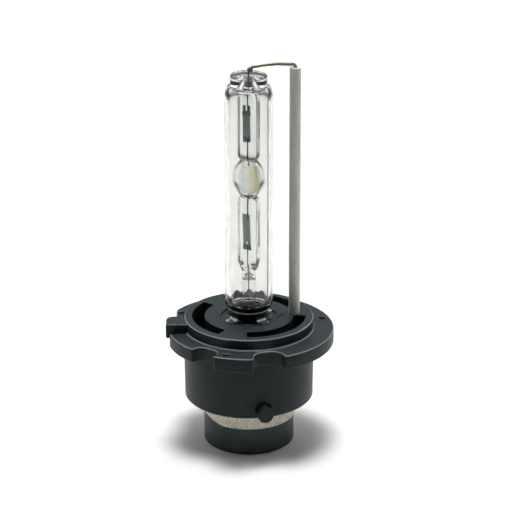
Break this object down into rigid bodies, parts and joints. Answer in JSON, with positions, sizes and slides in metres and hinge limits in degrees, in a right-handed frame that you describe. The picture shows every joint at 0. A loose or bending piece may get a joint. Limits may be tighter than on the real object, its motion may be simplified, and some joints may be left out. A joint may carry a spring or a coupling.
{
  "type": "headlight bulb",
  "caption": "Gas-discharge headlight bulb: quartz arc tube in a clear outer bulb, ceramic-sleeved return wire, keyed plug-in base with a ring contact and a centre pin.",
  "frame": {"origin": "on the bulb's axis, in the plane of the flange's top face, which is the plane that the lamp holder seats on", "axes": "+Z along the bulb's axis towards the tip of the glass, +X towards the ceramic tube of the return wire, +Y away from the notched front of the flange"},
  "size_m": [0.0315, 0.032, 0.0745],
  "materials": {
    "moulded_base": "satin",
    "contact_metal": "matte",
    "holder_steel": "satin",
    "clamp_steel": "polished",
    "weld_metal": "satin",
    "outer_quartz": "gloss",
    "inner_quartz": "gloss",
    "halide_salts": "matte",
    "mercury": "polished",
    "tungsten": "satin",
    "molybdenum_foil": "satin",
    "lead_wire": "satin",
    "nickel_wire": "satin",
    "tube_ceramic": "matte"
  },
  "bodies": {
    "root": {"base_housing": "moulded_base", "socket_core": "moulded_base", "contact_ring": "contact_metal", "ring_strap": "contact_metal", "strap_weld": "weld_metal", "centre_contact": "contact_metal", "centre_weld": "weld_metal", "holder_ring": "holder_steel", "burner_clamp": "clamp_steel", "foot_welds": "weld_metal", "outer_bulb": "outer_quartz", "arc_tube": "inner_quartz", "halide_deposit": "halide_salts", "mercury_bead": "mercury", "lower_electrode": "tungsten", "upper_electrode": "tungsten", "lower_foil": "molybdenum_foil", "upper_foil": "molybdenum_foil", "lower_lead": "lead_wire", "upper_lead": "lead_wire", "return_wire": "nickel_wire", "lead_splice": "weld_metal", "ceramic_tube": "tube_ceramic"}
  },
  "joints": []
}
